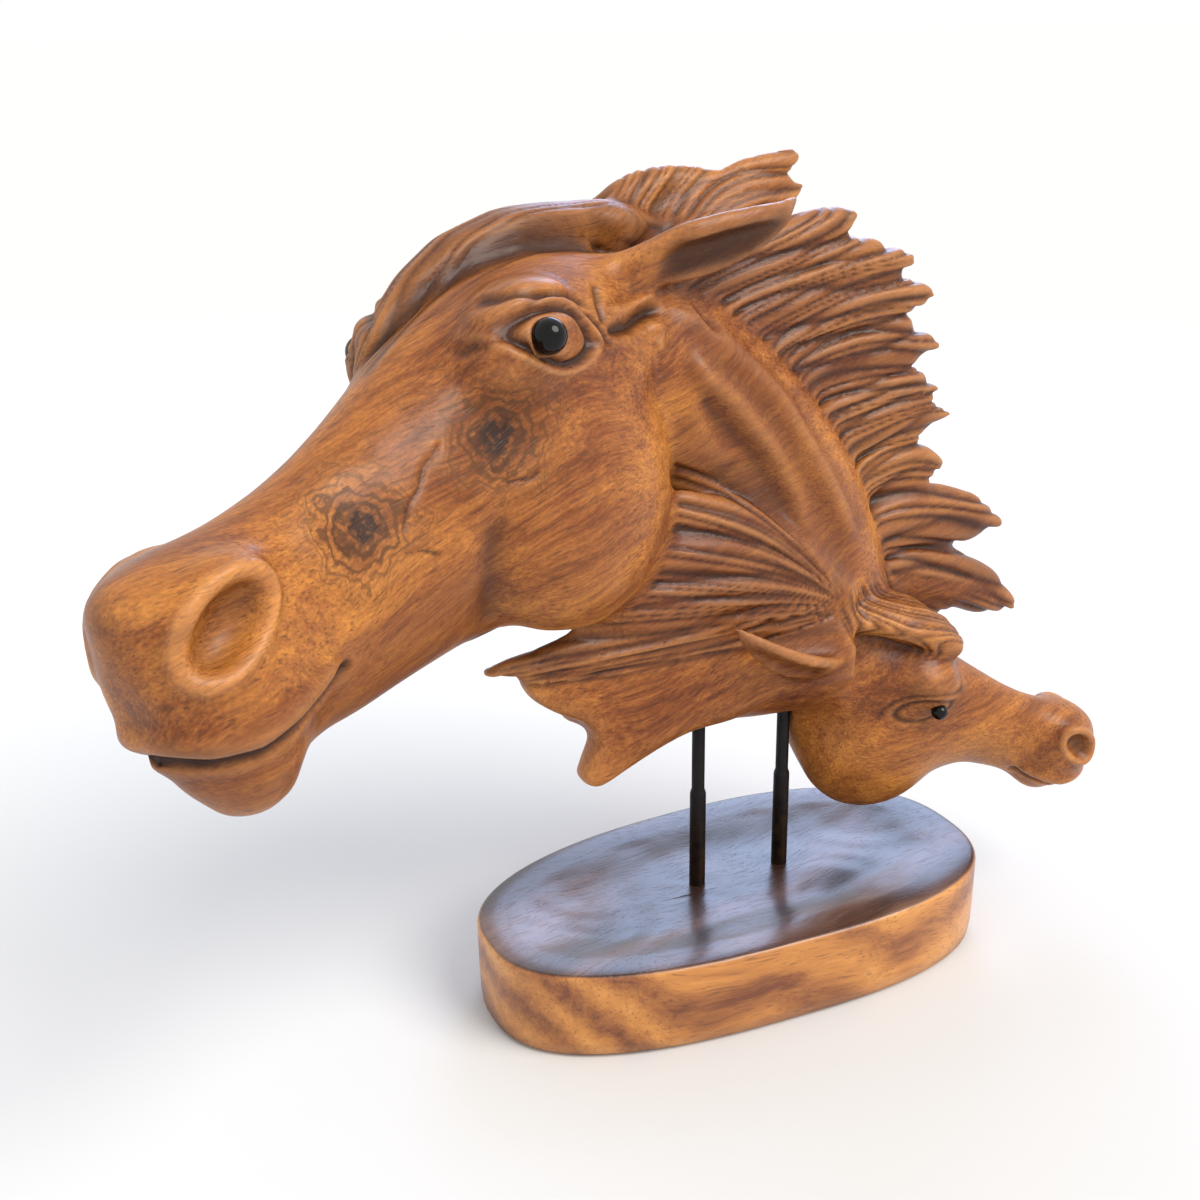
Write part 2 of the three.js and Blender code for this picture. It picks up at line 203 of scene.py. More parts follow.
class Fan:
    """A fan of curved strands, seen from the front. Each point has a place across it and one along it."""

    steps = 20  # from one lock to the next

    def __init__(self, locks):
        places = np.array(locks, float) * MM
        self.last = len(locks) - 1
        self.fine = np.linspace(0, self.last, self.last * self.steps + 1)
        self.guides = [self.curve(self.fine, places[:, k]) for k in range(3)]
        across, along = np.meshgrid(np.linspace(-0.7, self.last + 0.7, 130), np.linspace(0, 1.08, 48))
        self.samples = np.stack([across.ravel(), along.ravel()], 1)
        self.tree = KDTree(len(self.samples))
        for i, place in enumerate(self.at(*self.samples.T)):
            self.tree.insert((*place, 0), i)
        self.tree.balance()

    @staticmethod
    def curve(fine, places):
        """A smooth curve through the places, one place at each whole number."""
        padded = np.vstack([2 * places[0] - places[1], places, 2 * places[-1] - places[-2]])
        k = np.minimum(fine.astype(int), len(places) - 2)
        t = (fine - k)[:, None]
        a, b, c, d = (padded[k + i] for i in range(4))
        square = 2 * a - 5 * b + 4 * c - d
        cube = 3 * b - a - 3 * c + d
        return 0.5 * (2 * b + (c - a) * t + square * t**2 + cube * t**3)

    def at(self, across, along):
        root, bend, tip = (
            np.stack([self.extended(across, guide[:, i]) for i in range(2)], 1) for guide in self.guides
        )
        s = np.asarray(along)[:, None]
        return (1 - s) ** 2 * root + 2 * s * (1 - s) * bend + s**2 * tip

    def extended(self, across, column):
        inside = np.interp(across, self.fine, column)
        before = across.clip(max=0) * (column[1] - column[0]) * self.steps
        after = (across - self.last).clip(min=0) * (column[-1] - column[-2]) * self.steps
        return inside + before + after

    def read(self, points, mask):
        """Each masked point's place across the fan, its share along a strand and its distance from it."""
        chosen = np.flatnonzero(mask > 0.001)
        flat = points[chosen][:, (0, 2)]
        places = self.samples[[self.tree.find((x, z, 0))[1] for x, z in flat]].copy()
        step = 0.01
        for _ in range(3):
            here = self.at(*places.T)
            by_across = (self.at(places[:, 0] + step, places[:, 1]) - here) / step
            by_along = (self.at(places[:, 0], places[:, 1] + step) - here) / step
            gap = flat - here
            det = by_across[:, 0] * by_along[:, 1] - by_across[:, 1] * by_along[:, 0]
            det = np.where(np.abs(det) < 1e-7, 1e-7, det)
            move_across = (gap[:, 0] * by_along[:, 1] - gap[:, 1] * by_along[:, 0]) / det
            move_along = (by_across[:, 0] * gap[:, 1] - by_across[:, 1] * gap[:, 0]) / det
            places[:, 0] += np.clip(move_across, -0.3, 0.3)
            places[:, 1] += np.clip(move_along, -0.1, 0.1)
            places[:, 0] = np.clip(places[:, 0], -0.8, self.last + 0.8)
            places[:, 1] = np.clip(places[:, 1], 0, 1.1)
        read = np.zeros((3, len(points)))
        read[:2, chosen] = places.T
        read[2, chosen] = np.linalg.norm(flat - self.at(*places.T), axis=1)
        return read


def strands(place, along, sharp=0.7):
    """Carved strands, one to each whole step of place: 0 in the cuts between them and 1 on their backs."""
    place = place + 0.28 * np.sin(2.1 * place) + 0.2 * np.sin(0.73 * place + 1)
    place = place + 0.45 * np.sin(4.5 * along + 0.35 * place)
    return np.abs(np.sin(np.pi * place)) ** sharp


def apply_modifier(piece, kind, **settings):
    """Adds a modifier, and keeps its result as the piece's own mesh."""
    modifier = piece.modifiers.new(kind.title(), kind)
    for name, value in settings.items():
        setattr(modifier, name, value)
    evaluated = piece.evaluated_get(bpy.context.evaluated_depsgraph_get())
    made = bpy.data.meshes.new_from_object(evaluated)
    piece.modifiers.clear()
    piece.data = made


def merged_copy(node, name):
    """A new object with a copy of a CAD node's mesh, its loose triangles joined."""
    piece = bpy.data.objects.new(name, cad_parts[node].data.copy())
    bpy.context.scene.collection.objects.link(piece)
    bm = bmesh.new()
    bm.from_mesh(piece.data)
    bmesh.ops.remove_doubles(bm, verts=bm.verts, dist=1e-6)
    bm.to_mesh(piece.data)
    bm.free()
    return piece


# ---- The carving ----

# Features of a head, in shares of its length. Each is on both sides, so only the left side's place is given.
NOSTRIL = {"at": (0.88, 0.108, -0.19), "half": (0.068, 0.042, 0.04), "pitch": 24, "yaw": -12}
LIPS = [
    (0.72, 0.092, -0.34),
    (0.8, 0.096, -0.352),
    (0.88, 0.094, -0.355),
    (0.95, 0.062, -0.335),
    (0.985, 0, -0.316),
]
JOWL = {"at": (0.255, 0.062, -0.31), "half": (0.218, 0.116, 0.218)}
MARE_EAR = [(0.08, 0.07, -0.06), (-0.12, 0.209, -0.079), (-0.24, 0.245, -0.056)]
FOAL_EAR = [(0, 0.14, -0.05), (-0.21, 0.275, -0.02), (-0.43, 0.295, 0.073)]
MARE_FORELOCK = [
    (-0.17, 0.01, -0.08),
    (-0.04, -0.01, -0.025),
    (0.09, -0.03, 0.008),
    (0.21, -0.05, 0.013),
    (0.33, -0.068, -0.02),
    (0.44, -0.078, -0.076),
]
# The neck's outer edge, where the mane begins, and the long muscles of its near side, in x and z.
CREST = [
    (-75, 396),
    (-35, 383),
    (-8, 374),
    (26, 345),
    (58, 310),
    (86, 268),
    (106, 219),
    (113, 194),
    (125, 150),
]
NECK_RIDGES = [
    [(-44, 382), (-18, 363), (3, 343), (21, 324), (37, 296), (54, 267), (75, 230)],
    [(-40, 352), (-11, 328), (12, 300), (28, 271), (37, 237)],
]
NECK_HOLLOW = [(-34, 334), (-7, 309), (14, 285), (38, 250)]


def mirrored(local):
    """Local places with both sides folded onto the left one."""
    return local * np.array([1, 0, 1]) + np.abs(local) * np.array([0, 1, 0])


def nostril_share(left):
    """Each point's distance from the nostril's middle: 1 on its rim."""
    turn = Matrix.Rotation(math.radians(NOSTRIL["pitch"]), 3, "Y")
    turn = np.array(turn @ Matrix.Rotation(math.radians(NOSTRIL["yaw"]), 3, "Z"))
    return np.linalg.norm((left - NOSTRIL["at"]) @ turn / NOSTRIL["half"], axis=1)


def beside(points, path):
    """Signed distance from a path in the x-z plane, positive above it, and the share of the way along."""
    flat = points[:, (0, 2)]
    path = np.array(path) * MM
    distance, share = distance_to_path(flat, path)
    starts, legs = path[:-1], np.diff(path, axis=0)
    lengths = np.linalg.norm(legs, axis=1)
    ends = np.cumsum(lengths) / lengths.sum()
    leg = np.minimum(np.searchsorted(ends, share), len(legs) - 1)
    gap = flat - starts[leg]
    side = legs[leg, 0] * gap[:, 1] - legs[leg, 1] * gap[:, 0]
    return distance * np.sign(side), share


def off_forelock(local):
    """How far each point is to the left of the mare's forelock, and how far above it."""
    lock = np.array(MARE_FORELOCK)
    side = local[:, 1] - np.interp(local[:, 0], lock[:, 0], lock[:, 1])
    rise = local[:, 2] - np.interp(local[:, 0], lock[:, 0], lock[:, 2])
    return side, rise


class Regions:
    """Where each part of the carving is: a share from 0 to 1 for every point."""

    def __init__(self, points):
        self.mare = MARE.local(points)
        self.foal = FOAL.local(points)
        self.mare_left = mirrored(self.mare)
        self.foal_left = mirrored(self.foal)
        y, z = points[:, 1], points[:, 2]
        self.off_crest, _ = beside(points, CREST)
        self.below = ramp(z, 0.235, 0.225)
        u, _, w = self.mare.T
        mare_ear = distance_to_path(self.mare_left, MARE_EAR)[0]
        foal_ear = distance_to_path(self.foal_left, FOAL_EAR)[0]
        on_mare_ear = ramp(mare_ear, 0.07, 0.058) * ramp(u, 0.02, -0.03)
        self.ears = np.maximum(on_mare_ear, ramp(foal_ear, 0.075, 0.06))
        jowl = np.linalg.norm((self.mare_left - JOWL["at"]) / JOWL["half"], axis=1)
        off_mare = ramp(jowl, 1.03, 1.1) * np.where(w > -0.3, ramp(u, 0.03, -0.03), 1)
        side, rise = off_forelock(self.mare)
        self.forelock = ramp(np.abs(side), 0.1, 0.075) * ramp(rise, -0.05, -0.02) * ramp(u, 0.5, 0.44)
        self.forelock *= ramp(u, -0.15, -0.05) * (1 - self.ears)
        self.tuft = ramp(y, 0.04, 0.046) * ramp(z, 0.395, 0.402) * ramp(u, 0.0, -0.06) * (1 - self.ears)
        self.mane = ramp(self.off_crest, -0.002, 0.003) * (1 - self.ears) * (1 - self.tuft)
        self.mane *= ramp(y, 0.002, 0.008) * ramp(u, 0.02, -0.06)
        foal_crown = ramp(self.foal[:, 2], 0.12, 0.09) * ramp(self.foal[:, 0], -0.3, -0.25)
        self.mane *= 1 - foal_crown * ramp(y, 0.024, 0.02)
        spread = distance_to_path(points * [1, 0, 1], [(0.06, 0, 0.208), (-0.152, 0, 0.213)])[0]
        over = np.maximum(ramp(spread, 0.014, 0.008), ramp(z, 0.214, 0.222))
        self.foal_mane = ramp(y, 0.004, -0.004) * ramp(self.foal[:, 0], 0.03, -0.03) * over * off_mare
        self.foal_mane *= ramp(self.off_crest, -0.008, -0.016) * (1 - self.ears)
        u, v, w = self.foal.T
        self.foal_forelock = ramp(u, -0.06, -0.02) * ramp(u, 0.42, 0.39) * ramp(w, -0.02, 0.015)
        self.foal_forelock *= ramp(w, 0.13, 0.11) * ramp(np.abs(v), 0.16, 0.13)


def smoothing_share(points, regions):
    """How freely each point moves while the block is smoothed: little at hair, ears, lips and eyes."""
    share = np.ones(len(points))
    heads = ((MARE, regions.mare_left, "mare_eye_left"), (FOAL, regions.foal_left, "foal_eye_left"))
    for head, left, node in heads:
        bead = (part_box(node)[1][0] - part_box(node)[0][0]) / 2 / head.length
        share *= ramp(np.linalg.norm(left - head.eye(node), axis=1), 1.1 * bead, 1.6 * bead)
        share *= 0.12 + 0.88 * ramp(nostril_share(left), 1.0, 1.35)
        share *= 0.1 + 0.9 * ramp(distance_to_path(left, LIPS)[0], 0.014, 0.04)
        share *= 1 - 0.7 * ramp(left[:, 0], 0.9, 0.96) * ramp(left[:, 2], -0.2, -0.14)
    hair = np.maximum.reduce([regions.mane, regions.tuft, regions.foal_mane, regions.foal_forelock])
    share *= 1 - 0.75 * hair
    share *= 1 - 0.7 * regions.forelock * ramp(regions.mare[:, 0], 0.05, 0.12)
    share *= 1 - 0.97 * regions.ears
    share *= 1 - 0.6 * ramp(points[:, 0], -0.06, -0.09) * ramp(points[:, 1], -0.001, -0.008) * regions.below
    return share * rod_clearance(points)


# Grooves and ridges on both sides of the mare's face: a path seen from the side, its height and its half
# width in mm. The path's places are how far along the head and how far above its axis they are, in shares
# of the head's length.
MARE_FACE_LINES = [
    (
        [(0.335, -0.04), (0.312, -0.029), (0.281, -0.028), (0.241, -0.038), (0.2, -0.056), (0.165, -0.09)],
        -2.4,
        1.8,
    ),
    ([(0.34, -0.022), (0.312, -0.014), (0.281, -0.012), (0.241, -0.022), (0.19, -0.042)], 1.6, 3.5),
    ([(0.125, -0.06), (0.15, -0.085), (0.162, -0.116)], -2.0, 2.6),
    ([(0.17, -0.12), (0.1, -0.134), (0.04, -0.136), (0.0, -0.14)], -3.6, 3.0),
    ([(0.14, -0.098), (0.1, -0.112), (0.04, -0.116), (0.0, -0.12)], 2.2, 2.6),
    ([(0.06, -0.15), (0.036, -0.164), (0.06, -0.19)], 2.4, 4.0),
    ([(0.36, -0.056), (0.385, -0.054), (0.41, -0.062)], -1.2, 1.6),
    ([(0.47, -0.44), (0.478, -0.37), (0.472, -0.31), (0.455, -0.25)], -2.2, 8.0),
]
# The gap between the forelock's rear end and the left ear, which is filled.
POLL_PIT = np.array((-56, 32, 402)) * MM
# The parting of the lips, seen from the side.
MOUTH = [(0.735, -0.33), (0.79, -0.343), (0.853, -0.347), (0.895, -0.349), (0.95, -0.335), (0.99, -0.315)]
# Swellings of the mare's face: the middle, the half sizes and the height in mm. They are the chin, the upper
# corner of the muzzle and, sunk instead of raised, its front.
FACE_SWELLINGS = [
    ((0.885, 0, -0.425), (0.05, 0.06, 0.03), 3),
    ((0.955, 0, -0.135), (0.05, 0.1, 0.045), 8),
    ((1.0, 0, -0.26), (0.05, 0.1, 0.08), -4),
]
# Splits in the timber of the mare's left cheek, seen from the side.
MARE_SPLITS = [
    [(0.479, -0.132), (0.505, -0.15), (0.53, -0.16), (0.548, -0.178), (0.575, -0.192), (0.61, -0.234)],
    [(0.615, -0.238), (0.58, -0.25), (0.543, -0.277)],
    [(0.44, -0.222), (0.4, -0.236), (0.372, -0.23)],
]
# Knots in the mare's left cheek, seen from the side: the middle and the radius.
MARE_KNOTS = [((0.418, -0.166), 0.055), ((0.642, -0.187), 0.052)]


def seen_from_side(local):
    """Local places along the head and above its axis."""
    return local[:, (0, 2)]


def lids(left, eye, lift):
    """An almond eyeball round the glass bead, its groove and lid, in metres, and the share that is cut."""
    tilt, half = math.radians(24), (0.08, 0.036)
    gap = left - (eye + (-0.035, 0, -0.012))
    along = gap[:, 0] * math.cos(tilt) + gap[:, 2] * math.sin(tilt)
    above = gap[:, 2] * math.cos(tilt) - gap[:, 0] * math.sin(tilt)
    power = 1.7
    place = (np.abs(along / half[0]) ** power + np.abs(above / half[1]) ** power) ** (1 / power)
    dome = ramp(place, 1, 0.4)
    over = ramp(above, -0.01, 0.01)
    groove = bump(place - 1.04, 0.14)
    lid = bump(place - 1.32, 0.12) * (0.5 + 0.5 * over)
    crease = bump(place - 1.6, 0.12) * over
    on_side = ramp(left[:, 1], 0.06, 0.09)
    height = lift * (0.5 * dome - 1.2 * groove + 0.7 * lid - 0.8 * crease)
    return on_side * height, on_side * np.maximum(groove, 0.9 * crease)


def mouth_and_nostril(left, lift):
    """The parting of the lips and the nostril with its rim, in metres, and the share that is cut."""
    share = nostril_share(left)
    inside = ramp(share, 1.0, 0.6)
    height = lift * (0.9 * bump(share - 1.2, 0.2) - 1.2 * inside)
    away, along = distance_to_path(seen_from_side(left), MOUTH)
    off_middle = np.where(left[:, 0] > 0.93, 1, ramp(left[:, 1], 0.02, 0.05))
    above = left[:, 2] > np.interp(left[:, 0], [u for u, _ in MOUTH], [w for _, w in MOUTH])
    lip = bump(away - 0.024, 0.016) * np.where(above, 0.9, -0.5) * ramp(along, 0, 0.12)
    height += off_middle * lift * lip
    parting = off_middle * bump(away, 0.0085)
    return height - 1.3 * lift * parting, np.maximum(parting, 0.55 * inside)


def face_relief(regions):
    """Lids, lips, nostrils and the lines of both faces, in metres, and the share that is cut."""
    height = np.zeros(len(regions.mare))
    cut = np.zeros(len(regions.mare))
    heads = (
        (regions.mare_left, MARE.eye("mare_eye_left"), 2.8 * MM, 2.8 * MM),
        (regions.foal_left, FOAL.eye("foal_eye_left"), 0.7 * MM, 2.2 * MM),
    )
    for left, eye, lid_lift, lift in heads:
        for rise, share in (lids(left, eye, lid_lift), mouth_and_nostril(left, lift)):
            height += rise
            cut = np.maximum(cut, share)
    side = seen_from_side(regions.mare_left)
    on_side = ramp(regions.mare_left[:, 1], 0.04, 0.07)
    for path, lift, half_width in MARE_FACE_LINES:
        away, along = distance_to_path(side, path)
        line = ramp(along, 0, 0.2) * ramp(along, 1, 0.8) * on_side * bump(away * MARE.length, half_width * MM)
        height += lift * MM * line
        cut = np.maximum(cut, 0.3 * max(0, -lift) * line)
    for middle_place, size, lift in FACE_SWELLINGS:
        height += lift * MM * bump(np.linalg.norm((regions.mare_left - middle_place) / size, axis=1), 1)
    brow = np.linalg.norm((regions.foal_left - (0.3, 0.17, -0.07)) / (0.11, 0.1, 0.05), axis=1)
    height += 2.5 * MM * bump(brow, 1)
    edge, line = forelock_edge(regions.mare)
    height -= 3 * MM * edge * line
    return height, np.clip(np.maximum(cut, edge * line), 0, 1)


def forelock_edge(local):
    """The groove under the mare's forelock: a share across it and a share along it."""
    side, rise = off_forelock(local)
    u = local[:, 0]
    wide = np.interp(u, [-0.17, 0.03, 0.25, 0.44], [0.05, 0.082, 0.06, 0.014])
    return bump(side - wide, 0.014), ramp(u, -0.05, 0.02) * ramp(u, 0.46, 0.4) * (rise > -0.09)


def ear_hollow_shade(regions, normals):
    """1 in the hollow of the mare's ears, on the face that looks out and down, where shade is painted in."""
    out = normals @ MARE.turn
    facing = 0.1 * out[:, 0] + np.sign(regions.mare[:, 1]) * out[:, 1] - 0.6 * out[:, 2]
    facing = ramp(facing, 0.0, 0.35)
    away, along = distance_to_path(regions.mare_left, MARE_EAR)
    width = 0.05 * np.interp(along, [0, 0.3, 0.55, 0.85, 1], [0.2, 0.9, 1, 0.6, 0.1])
    return facing * regions.ears * ramp(away, width, 0.6 * width)


def from_splits(regions):
    """The distance from the splits in the mare's left cheek, up to 9 mm."""
    nearest = np.full(len(regions.mare), 9 * MM)
    for path in MARE_SPLITS:
        away, along = distance_to_path(seen_from_side(regions.mare), path)
        ends = 4 * MM * (1 - ramp(along, 0, 0.15) * ramp(along, 1, 0.8))
        nearest = np.minimum(nearest, away * MARE.length + ends)
    return np.where(regions.mare[:, 1] > 0.03, nearest, 9 * MM)


def from_knots(regions):
    """The distance from the knots in the mare's left cheek, in shares of a knot's radius, up to 3."""
    nearest = np.full(len(regions.mare), 3.0)
    for at, radius in MARE_KNOTS:
        away = np.linalg.norm((seen_from_side(regions.mare) - at) * (0.85, 1), axis=1) / radius
        nearest = np.minimum(nearest, away)
    return np.where(regions.mare[:, 1] > 0.03, nearest, 3.0)


def neck_relief(points, regions):
    """The long muscles of the mare's neck on its near side, in metres."""
    near = ramp(points[:, 1], 0.01, -0.01) * ramp(points[:, 2], 0.2, 0.25)
    near *= ramp(regions.mare[:, 0], 0.02, -0.02)
    height = np.zeros(len(points))
    for ridge in NECK_RIDGES:
        away, along = beside(points, ridge)
        height += 4.6 * MM * bump(away, 7 * MM) * ramp(along, 0, 0.1) * ramp(along, 1, 0.75)
    away, along = beside(points, NECK_HOLLOW)
    height -= 4 * MM * bump(away, 9 * MM) * ramp(along, 0, 0.1) * ramp(along, 1, 0.7)
    return near * height


def hair_relief(points, regions, depth):
    """The strands of manes, tuft and forelocks, in metres, and a share that is 0 in their cuts."""
    cut = np.ones(len(points))
    height = np.zeros(len(points))

    def comb(mask, place, along, lift):
        nonlocal height, cut
        fine = strands(place, along)
        broad = strands(0.37 * place + 0.4, along, 0.8)
        height += mask * lift * (0.7 * fine + 0.9 * broad - 1)
        cut *= 1 - mask * (1 - np.minimum(fine, 0.35 + broad))

    across, along, gap = Fan(MANE_LOCKS).read(points, regions.mane)
    comb(regions.mane * ramp(gap, 0.02, 0.008), 4.6 * across, along, 1.3 * depth)
    across, along, gap = Fan(FOAL_MANE_LOCKS).read(points, regions.foal_mane)
    spread = ramp(along, 0.03, 0.15)
    comb(regions.foal_mane * spread * ramp(gap, 0.02, 0.008), 4 * across, along, 1.1 * depth)
    x, _, z = points.T
    lift = z - 0.45 * x - 0.012 * np.sin(40 * x + 1)
    comb(regions.tuft, lift / (5 * MM), 5 * x, 0.6 * depth)
    side, _ = off_forelock(regions.mare)
    comb(regions.forelock, side / 0.016, regions.mare[:, 0], 0.6 * depth)
    bend = 0.06 * np.sin(9 * regions.foal[:, 0])
    comb(regions.foal_forelock, (regions.foal[:, 1] + bend) / 0.022, regions.foal[:, 0], 0.7 * depth)
    return height, cut


def hollows(surface, rounds=12):
    """How deep each point lies in a cut and how proud it stands, as shares from 0 to 1."""
    normals = surface.normals()
    level = surface.points.copy()
    for _ in range(rounds):
        level = surface.around(level)
    depth = np.einsum("ij,ij->i", level - surface.points, normals) / (1.1 * MM)
    return np.clip(depth, 0, 1), np.clip(-depth, 0, 1)


def carve(settings):
    """The carving as one dense piece: the block is rounded, then the faces, necks and hair are cut in it."""
    piece = merged_copy("carved_mare_and_foal", "carved_hardwood_mare_and_foal")
    apply_modifier(piece, "REMESH", mode="VOXEL", voxel_size=settings.rough_detail, adaptivity=0)
    block = Surface(piece.data)
    regions = Regions(block.points)
    behind_forelock = np.linalg.norm(block.points - POLL_PIT, axis=1)
    block.raise_by(9 * MM * bump(behind_forelock, 16 * MM))
    block.smooth(0.6 * smoothing_share(block.points, regions), settings.rounding)
    block.store()
    apply_modifier(piece, "REMESH", mode="VOXEL", voxel_size=settings.detail, adaptivity=0)

    surface = Surface(piece.data)
    surface.smooth(0.4 * np.ones(len(surface.points)), 3)
    regions = Regions(surface.points)
    hair, cut = hair_relief(surface.points, regions, settings.strand_depth)
    split, knot = from_splits(regions), from_knots(regions)
    face, face_cut = face_relief(regions)
    relief = face + neck_relief(surface.points, regions) + hair
    relief -= 0.9 * MM * bump(split, 1.1 * MM) + 1.6 * MM * bump(knot, 0.7)
    relief += 0.8 * MM * bump(knot - 1.25, 0.35)
    surface.raise_by(relief * rod_clearance(surface.points))
    surface.smooth(0.3 * np.ones(len(surface.points)), 1)
    surface.smooth(0.4 * np.maximum(regions.mane, regions.foal_mane), 1)
    low, high = (np.array(corner) for corner in CAD_BOX)
    surface.points = np.clip(surface.points, low + 0.2 * MM, high - 0.2 * MM)
    hollow, ridge = hollows(surface)
    # Painted shade: the ears' hollows, on the face that looks out and down, are darkened through the cut
    # share.
    painted_ear_shade = ear_hollow_shade(regions, surface.normals())
    surface.store()
    # Painted shade: hollow and cut darken the wood in cuts, hollows and ears, with staining; ridge lightens
    # the proud places.
    surface.attribute("hollow", hollow)
    surface.attribute("ridge", ridge)
    surface.attribute("cut", np.maximum.reduce([1 - cut, face_cut, painted_ear_shade]))
    surface.attribute("split", split)
    surface.attribute("knot", knot)
    stained = [regions.mane, regions.foal_mane, 0.8 * regions.forelock, 0.9 * regions.ears]
    surface.attribute("hair", np.maximum.reduce(stained))
    share = settings.most_triangles / (2 * len(piece.data.polygons))
    apply_modifier(piece, "DECIMATE", decimate_type="COLLAPSE", ratio=min(1.0, share))
    return piece


def rod_clearance(points):
    """0 close to a rod, so that its hole keeps its size, and 1 away from it."""
    share = np.ones(len(points))
    for rod in ("support_rod_left", "support_rod_right"):
        share *= ramp(np.linalg.norm((points - middle(rod))[:, :2], axis=1), 0.006, 0.01)
    return share


# ---- Other pieces ----


def new_piece(name, bm):
    """An object from a bmesh, with its normals out and its faces smooth."""
    bmesh.ops.recalc_face_normals(bm, faces=bm.faces)
    mesh = bpy.data.meshes.new(name)
    bm.to_mesh(mesh)
    bm.free()
    for face in mesh.polygons:
        face.use_smooth = True
    piece = bpy.data.objects.new(name, mesh)
    bpy.context.scene.collection.objects.link(piece)
    return piece


def finish_piece(piece, node, material):
    piece.data.materials.clear()
    piece.data.materials.append(material)
    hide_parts(node)
    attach(piece, "root")


def on_oval(angle, inset):
    """A point of the base's outline, drawn in from its edge by inset metres."""
    low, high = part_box("oval_base")
    half_length = (high.x - low.x) / 2 - inset
    half_width = 0.078 - inset
    square, wide_end, bow = 2 / 2.5, 0.07, -0.06
    along = math.copysign(abs(math.cos(angle)) ** square, math.cos(angle))
    across = math.copysign(abs(math.sin(angle)) ** square, math.sin(angle))
    return Vector((half_length * along, half_width * (across * (1 + wide_end * along) + bow * along**2), 0))


def base_block(settings):
    """The base: an oval slice with a rounded upper edge and a shallow hand-cut dish."""
    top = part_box("oval_base")[1].z
    edge, dish = settings.edge_radius, settings.dish_depth
    side = [(5 * MM, 0), (1.5 * MM, 2.5 * MM), (0.7 * MM, 10 * MM), (0.4 * MM, top / 2)]
    turns = [math.radians(15 * k) for k in range(7)]
    rim = [(0.4 * MM + edge * (1 - math.cos(t)), top - edge * (1 - math.sin(t))) for t in turns]
    lip = [(edge + 5 * MM, top), (edge + 9 * MM, top - 0.03 * dish)]
    slope = [0.1 + 0.9 * math.sin(math.pi / 2 * min(1, k / 14)) ** 1.5 for k in range(23)]
    inner = [(edge + (12 + 2.7 * k) * MM, top - dish * fall) for k, fall in enumerate(slope)]
    bm = bmesh.new()
    turn = bm.verts.layers.float.new("turn")
    ring = bmesh.ops.create_circle(bm, segments=160, radius=1)["verts"]
    for vert in ring:
        vert[turn] = math.atan2(vert.co.y, vert.co.x)
    edges = bm.edges[:]
    bmesh.ops.contextual_create(bm, geom=edges)
    for inset, height in side + rim + lip + inner:
        for vert in ring:
            vert.co = on_oval(vert[turn], inset) + Vector((0, 0, height))
        made = bmesh.ops.extrude_edge_only(bm, edges=edges)["geom"]
        ring = [item for item in made if isinstance(item, bmesh.types.BMVert)]
        edges = [item for item in made if isinstance(item, bmesh.types.BMEdge)]
        edges = [item for item in edges if set(item.verts) <= set(ring)]
    bmesh.ops.contextual_create(bm, geom=edges)
    bmesh.ops.remove_doubles(bm, verts=bm.verts, dist=1e-6)
    return bm


def dish_surface(piece, settings):
    """Shallow gouge marks over the base's dish, lower towards its middle."""
    surface = Surface(piece.data)
    x, y, z = surface.points.T
    inner = ramp(z, 0.0493, 0.0485) * ramp(z, 0.03, 0.04)
    waves = np.sin(x * 150 + 2.2 * np.sin(y * 90)) * np.sin(y * 170 + 1.7 * np.sin(x * 70 + 1))
    waves += 0.6 * np.sin(x * 61 + y * 113 + 0.6)
    surface.points[:, 2] += inner * settings.gouge_depth * (waves - 0.6)
    surface.attribute("top", ramp(surface.normals()[:, 2], 0.55, 0.95) * ramp(z, 0.03, 0.04))


def rod_piece(node, name, settings):
    """A round rod with a thicker sleeve on its lower part, made by turning its outline."""
    low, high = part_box(node)
    axis = (low + high) / 2
    radius = (high.x - low.x) / 2
    slim = radius * settings.upper_share
    step = low.z + settings.sleeve_share * (high.z - low.z)
    outline = [
        (0, low.z),
        (radius - 0.5 * MM, low.z),
        (radius, low.z + 0.5 * MM),
        (radius, step - 2 * MM),
        (radius - 0.25 * (radius - slim), step - 0.8 * MM),
        (slim, step + 1.2 * MM),
        (slim, high.z - 0.5 * MM),
        (slim - 0.5 * MM, high.z),
        (0, high.z),
    ]
    bm = bmesh.new()
    verts = [bm.verts.new((axis.x + out, axis.y, up)) for out, up in outline]
    edges = [bm.edges.new(pair) for pair in zip(verts, verts[1:])]
    turn = {"axis": (0, 0, 1), "angle": math.tau, "steps": 48, "use_merge": True}
    bmesh.ops.spin(bm, geom=verts + edges, cent=(axis.x, axis.y, 0), **turn)
    bmesh.ops.remove_doubles(bm, verts=bm.verts, dist=1e-6)
    return new_piece(name, bm)


def eye_piece(node, name):
    """A glass bead."""
    low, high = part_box(node)
    bm = bmesh.new()
    place = Matrix.Translation((low + high) / 2)
    bmesh.ops.create_uvsphere(bm, u_segments=48, v_segments=32, radius=(high.z - low.z) / 2, matrix=place)
    return new_piece(name, bm)


# ---- Materials ----


def linear(colour):
    """An sRGB hex colour as linear red, green, blue and alpha."""
    parts = [int(colour[i : i + 2], 16) / 255 for i in (1, 3, 5)]
    return tuple([p / 12.92 if p <= 0.04045 else ((p + 0.055) / 1.055) ** 2.4 for p in parts] + [1.0])


def new_material(name):
    material = bpy.data.materials.new(name)
    material.use_nodes = True
    tree = material.node_tree
    return material, tree, tree.nodes["Principled BSDF"]


def connect(node, **inputs):
    """Fills a node's inputs, each with a value or another node's output. _0 is the first input."""
    for name, value in inputs.items():
        socket = node.inputs[int(name[1:])] if name.startswith("_") else node.inputs[name.replace("_", " ")]
        if isinstance(value, bpy.types.NodeSocket):
            node.id_data.links.new(value, socket)
        else:
            socket.default_value = value


